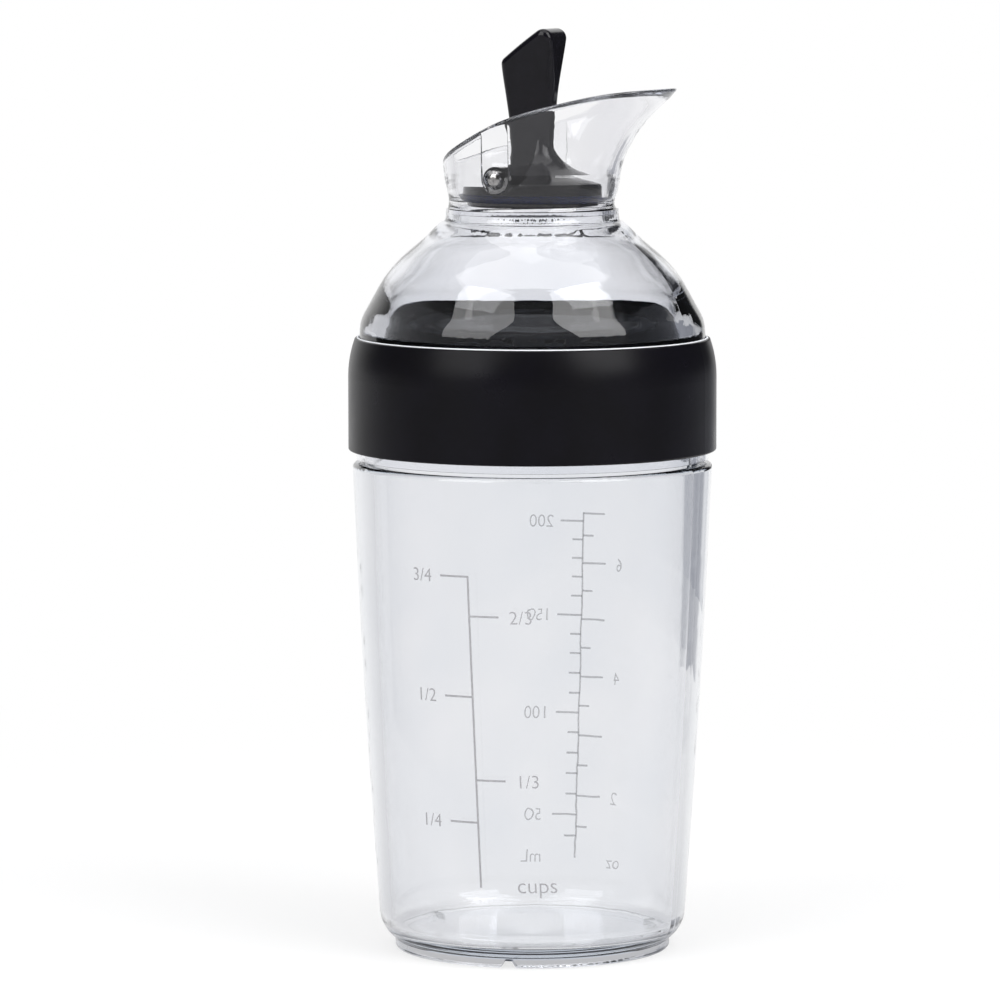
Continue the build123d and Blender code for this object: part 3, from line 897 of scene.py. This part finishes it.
# Lever: thumb post, trumpet root and stopper disc in one glossy black moulding of filled nylon.
# The polish is good on the flats, with a slight orange peel that breaks up long highlights.
def gloss_black_nylon(name, deep, lifted):
    """Polished black moulding: orange peel and hair scratches, a hint of blue where it is lit."""
    material, tree, place, output = start_material(name)
    peel = add(tree, "ShaderNodeTexNoise", {"Vector": place, "Scale": 1 / (1.6 * mm), "Detail": 2.0})
    hairs = add(tree, "ShaderNodeTexNoise", {"Vector": place, "Scale": 1 / (0.3 * mm), "Detail": 5.0})
    colour = add(tree, "ShaderNodeValToRGB", {"Fac": peel.outputs["Fac"]})
    colour.color_ramp.elements[0].position = 0.3
    colour.color_ramp.elements[0].color = linear(deep)
    colour.color_ramp.elements[1].position = 0.8
    colour.color_ramp.elements[1].color = linear(lifted)
    polish = add(
        tree,
        "ShaderNodeMapRange",
        {"Value": hairs.outputs["Fac"], "From Min": 0.35, "From Max": 0.7, "To Min": 0.1, "To Max": 0.2},
    )
    bump = add(
        tree, "ShaderNodeBump", {"Height": peel.outputs["Fac"], "Strength": 0.25, "Distance": 0.01 * mm}
    )
    shader = add(
        tree,
        "ShaderNodeBsdfPrincipled",
        {
            "Base Color": colour.outputs["Color"],
            "Roughness": polish.outputs["Result"],
            "Normal": bump.outputs["Normal"],
            "IOR": 1.5,
            "Specular IOR Level": 0.34,
        },
    )
    tree.links.new(shader.outputs["BSDF"], output.inputs["Surface"])
    return material


dress("lever", gloss_black_nylon("moulded_gloss_black_nylon_lever", "#0c0b10", "#121117"))


# Stopper gasket: navy-black silicone ring, stretched into the groove under the disc. Its lip is
# smoother than the lid gasket, because it has to slide on the seat.
dress("stopper_gasket", silicone("moulded_navy_silicone_stopper_gasket", "#08143c", "#0e1f50", 0.36))


# Studio: a pale paper floor that keeps the soft shadow, two tall softboxes in front, one overhead, and
# a curved dark card behind on the right that shows only in gloss and through glass. The surround is
# white behind the bottle and dims towards the front, as where only the sweep behind it is lit.
scene = bpy.context.scene
scene.cycles.max_bounces = 32
scene.cycles.transmission_bounces = 24
scene.cycles.glossy_bounces = 16
surround_light = 0.5
world = bpy.data.worlds.new("white_studio")
scene.world = world
world.use_nodes = True
sky = world.node_tree
sky.nodes.clear()
rays = add(sky, "ShaderNodeLightPath")
plain = add(sky, "ShaderNodeBackground", {"Color": linear("#ffffff"), "Strength": surround_light})
white = add(sky, "ShaderNodeBackground", {"Color": linear("#ffffff"), "Strength": 1.0})
around = add(sky, "ShaderNodeTexCoord").outputs["Generated"]
split = add(sky, "ShaderNodeSeparateXYZ", {"Vector": around})
bearing = add(sky, "ShaderNodeMath", {0: split.outputs["X"], 1: split.outputs["Y"]}, operation="ARCTAN2")
turned = add(sky, "ShaderNodeMath", {0: bearing.outputs[0], 1: camera_azimuth}, operation="ADD")
behind = add(sky, "ShaderNodeMath", {0: turned.outputs[0]}, operation="COSINE")
# Glass sees the surround a little greyer in four directions, which shades the flanks of the cup.
fourfold = add(sky, "ShaderNodeMath", {0: turned.outputs[0], 1: 4.0}, operation="MULTIPLY")
wave = add(sky, "ShaderNodeMath", {0: fourfold.outputs[0]}, operation="COSINE")
mirrored = add(
    sky,
    "ShaderNodeMapRange",
    {"Value": behind.outputs[0], "From Min": 0.5, "From Max": 0.95, "To Min": 0.04, "To Max": 1.0},
    interpolation_type="SMOOTHSTEP",
)
ahead = add(
    sky,
    "ShaderNodeMapRange",
    {"Value": behind.outputs[0], "From Min": -0.3, "From Max": 0.5, "To Min": 0.15, "To Max": 1.0},
    interpolation_type="SMOOTHSTEP",
)
through = add(
    sky,
    "ShaderNodeMapRange",
    {"Value": wave.outputs[0], "From Min": -1.0, "From Max": -0.2, "To Min": 0.6, "To Max": 1.0},
    interpolation_type="SMOOTHSTEP",
)
gloss = add(sky, "ShaderNodeBackground", {"Color": linear("#ffffff"), "Strength": mirrored.outputs[0]})
dimmed = add(sky, "ShaderNodeMath", {0: through.outputs[0], 1: ahead.outputs[0]}, operation="MULTIPLY")
clear = add(sky, "ShaderNodeBackground", {"Color": linear("#ffffff"), "Strength": dimmed.outputs[0]})
glossy = add(
    sky,
    "ShaderNodeMixShader",
    {0: rays.outputs["Is Glossy Ray"], 1: plain.outputs[0], 2: gloss.outputs[0]},
)
passed = add(
    sky,
    "ShaderNodeMixShader",
    {0: rays.outputs["Is Transmission Ray"], 1: glossy.outputs[0], 2: clear.outputs[0]},
)
shown = add(
    sky,
    "ShaderNodeMixShader",
    {0: rays.outputs["Is Camera Ray"], 1: passed.outputs[0], 2: white.outputs[0]},
)
add(sky, "ShaderNodeOutputWorld", {"Surface": shown.outputs[0]})


def softbox(name, azimuth, elevation, distance, width, height, watts):
    """A soft rectangular lamp that faces the bottle's middle."""
    data = bpy.data.lights.new(name, "AREA")
    data.shape = "RECTANGLE"
    data.size = width
    data.size_y = height
    data.energy = watts
    lamp = bpy.data.objects.new(name, data)
    scene.collection.objects.link(lamp)
    turn = math.radians(azimuth)
    rise = math.radians(elevation)
    out = Vector((math.sin(turn) * math.cos(rise), -math.cos(turn) * math.cos(rise), math.sin(rise)))
    lamp.location = aim + out * distance
    lamp.rotation_mode = "QUATERNION"
    lamp.rotation_quaternion = (-out).to_track_quat("-Z", "Y")
    return lamp


softbox("left_softbox", azimuth=-23, elevation=34, distance=1.0, width=0.64, height=0.9, watts=5.0)
softbox("right_softbox", azimuth=70, elevation=37, distance=1.0, width=0.64, height=0.9, watts=7.0)
softbox("top_softbox", azimuth=22, elevation=80, distance=0.9, width=1.3, height=0.55, watts=3.6)

# The card's ends and top fade out, so that its outline doesn't cut across the glass. Below the height
# of the bottle's band it is paler.
card_away = 0.46
card_height = 0.8
card_steps = 24
card_first = 88
card_last = 180
card_middle = 134
card_end_fade = (0.66, 0.78)
card_top_fade = (0.6, 0.8)
card_pale_top = 0.09
card_dark_foot = 0.105
card_pale = 0.4
card_dark = 0.04
card_corners = []
card_faces = []
for step in range(card_steps + 1):
    turn = math.radians(card_first + (card_last - card_first) * step / card_steps)
    for height in (0.0, card_height):
        card_corners.append((card_away * math.sin(turn), -card_away * math.cos(turn), height))
for step in range(card_steps):
    card_faces.append((2 * step, 2 * step + 1, 2 * step + 3, 2 * step + 2))
card_mesh = bpy.data.meshes.new("dark_card")
card_mesh.from_pydata(card_corners, [], card_faces)
card = bpy.data.objects.new("dark_card", card_mesh)
scene.collection.objects.link(card)
card.visible_camera = False
card.visible_diffuse = False
card.visible_shadow = False
card_material, tree, place, output = start_material("black_flocked_card")
spot = add(tree, "ShaderNodeSeparateXYZ", {"Vector": place})
card_bearing = add(
    tree, "ShaderNodeMath", {0: spot.outputs["X"], 1: spot.outputs["Y"]}, operation="ARCTAN2"
)
card_turn = add(
    tree,
    "ShaderNodeMath",
    {0: card_bearing.outputs[0], 1: math.pi - math.radians(card_middle)},
    operation="SUBTRACT",
)
card_side = add(tree, "ShaderNodeMath", {0: card_turn.outputs[0]}, operation="ABSOLUTE")
side_fade = add(
    tree,
    "ShaderNodeMapRange",
    {"Value": card_side.outputs[0], "From Min": card_end_fade[0], "From Max": card_end_fade[1]},
    interpolation_type="SMOOTHSTEP",
)
top_fade = add(
    tree,
    "ShaderNodeMapRange",
    {"Value": spot.outputs["Z"], "From Min": card_top_fade[0], "From Max": card_top_fade[1]},
    interpolation_type="SMOOTHSTEP",
)
faded = add(tree, "ShaderNodeMath", {0: side_fade.outputs[0], 1: top_fade.outputs[0]}, operation="MAXIMUM")
card_shade = add(
    tree,
    "ShaderNodeMapRange",
    {
        "Value": spot.outputs["Z"],
        "From Min": card_pale_top,
        "From Max": card_dark_foot,
        "To Min": card_pale,
        "To Max": card_dark,
    },
    interpolation_type="SMOOTHSTEP",
)
flock = add(
    tree, "ShaderNodeEmission", {"Color": linear("#f2f5ff"), "Strength": card_shade.outputs["Result"]}
)
beyond = add(tree, "ShaderNodeBsdfTransparent")
edge = add(tree, "ShaderNodeMixShader", {0: faded.outputs[0], 1: flock.outputs[0], 2: beyond.outputs[0]})
tree.links.new(edge.outputs[0], output.inputs["Surface"])
card_mesh.materials.append(card_material)
card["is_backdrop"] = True

# The floor is white to the camera, but for the soft shadow near the bottle. Gloss and glass see it
# dim towards the front, and glass sees a faint cool contact shade under the foot ring.
floor_half = 20.0
shadow_near = 0.06
shadow_far = 0.35
shadow_share = 0.3
contact_reach = 0.05
floor_mesh = bpy.data.meshes.new("floor")
floor_corners = [(x * floor_half, y * floor_half, 0) for x, y in ((-1, -1), (1, -1), (1, 1), (-1, 1))]
floor_mesh.from_pydata(floor_corners, [], [(0, 1, 2, 3)])
floor = bpy.data.objects.new("floor", floor_mesh)
scene.collection.objects.link(floor)
floor_material, tree, place, output = start_material("pale_paper_sweep")
distance = add(tree, "ShaderNodeVectorMath", {0: place}, operation="LENGTH").outputs["Value"]
near = add(
    tree,
    "ShaderNodeMapRange",
    {
        "Value": distance,
        "From Min": shadow_near,
        "From Max": shadow_far,
        "To Min": shadow_share,
        "To Max": 0.0,
    },
    interpolation_type="SMOOTHSTEP",
)
paper = add(tree, "ShaderNodeBsdfDiffuse", {"Color": linear("#f4f4f5")})
glow = add(tree, "ShaderNodeEmission", {"Color": linear("#ffffff"), "Strength": 1.0})
shadowed = add(
    tree, "ShaderNodeMixShader", {0: near.outputs["Result"], 1: glow.outputs[0], 2: paper.outputs[0]}
)
depth = add(tree, "ShaderNodeVectorMath", {0: place, 1: tuple(backwards)}, operation="DOT_PRODUCT")
facing = add(tree, "ShaderNodeMath", {0: depth.outputs["Value"], 1: distance}, operation="DIVIDE")
round_the_table = add(
    tree, "ShaderNodeMapRange", {"Value": facing.outputs[0], "From Min": -1.0, "From Max": 1.0}
)
table_front = add(tree, "ShaderNodeValToRGB", {"Fac": round_the_table.outputs["Result"]})
table_front.color_ramp.elements[0].position = 0.015
table_front.color_ramp.elements[0].color = linear("#ffffff")
table_front.color_ramp.elements[1].position = 0.62
table_front.color_ramp.elements[1].color = linear("#c2c2c4")
for position, shade in ((0.15, "#e4e4e5"), (0.45, "#d0d0d2")):
    stop = table_front.color_ramp.elements.new(position)
    stop.color = linear(shade)
seen_floor = add(
    tree,
    "ShaderNodeMapRange",
    {"Value": depth.outputs["Value"], "From Min": 0.12, "From Max": 0.5, "To Min": 1.0, "To Max": 0.3},
    interpolation_type="SMOOTHSTEP",
)
foot_reach = add(
    tree, "ShaderNodeMapRange", {"Value": distance, "From Min": 0.0, "From Max": contact_reach}
)
contact = add(tree, "ShaderNodeValToRGB", {"Fac": foot_reach.outputs["Result"]})
contact.color_ramp.elements[0].position = 0.42
contact.color_ramp.elements[0].color = linear("#f4f5f7")
contact.color_ramp.elements[1].position = 0.57
contact.color_ramp.elements[1].color = linear("#ffffff")
for position, shade in ((0.46, "#d3dce1"), (0.52, "#d0dade")):
    stop = contact.color_ramp.elements.new(position)
    stop.color = linear(shade)
through_floor = add(
    tree,
    "ShaderNodeEmission",
    {"Color": contact.outputs["Color"], "Strength": seen_floor.outputs["Result"]},
)
mirrored_floor = add(tree, "ShaderNodeEmission", {"Color": table_front.outputs["Color"], "Strength": 1.0})
path = add(tree, "ShaderNodeLightPath")
refracted = add(
    tree,
    "ShaderNodeMixShader",
    {0: path.outputs["Is Transmission Ray"], 1: paper.outputs[0], 2: through_floor.outputs[0]},
)
reflected = add(
    tree,
    "ShaderNodeMixShader",
    {0: path.outputs["Is Glossy Ray"], 1: refracted.outputs[0], 2: mirrored_floor.outputs[0]},
)
both = add(
    tree,
    "ShaderNodeMixShader",
    {0: path.outputs["Is Camera Ray"], 1: reflected.outputs[0], 2: shadowed.outputs[0]},
)
tree.links.new(both.outputs[0], output.inputs["Surface"])
floor_mesh.materials.append(floor_material)
floor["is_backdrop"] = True

scene.view_settings.view_transform = "Standard"

low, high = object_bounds()
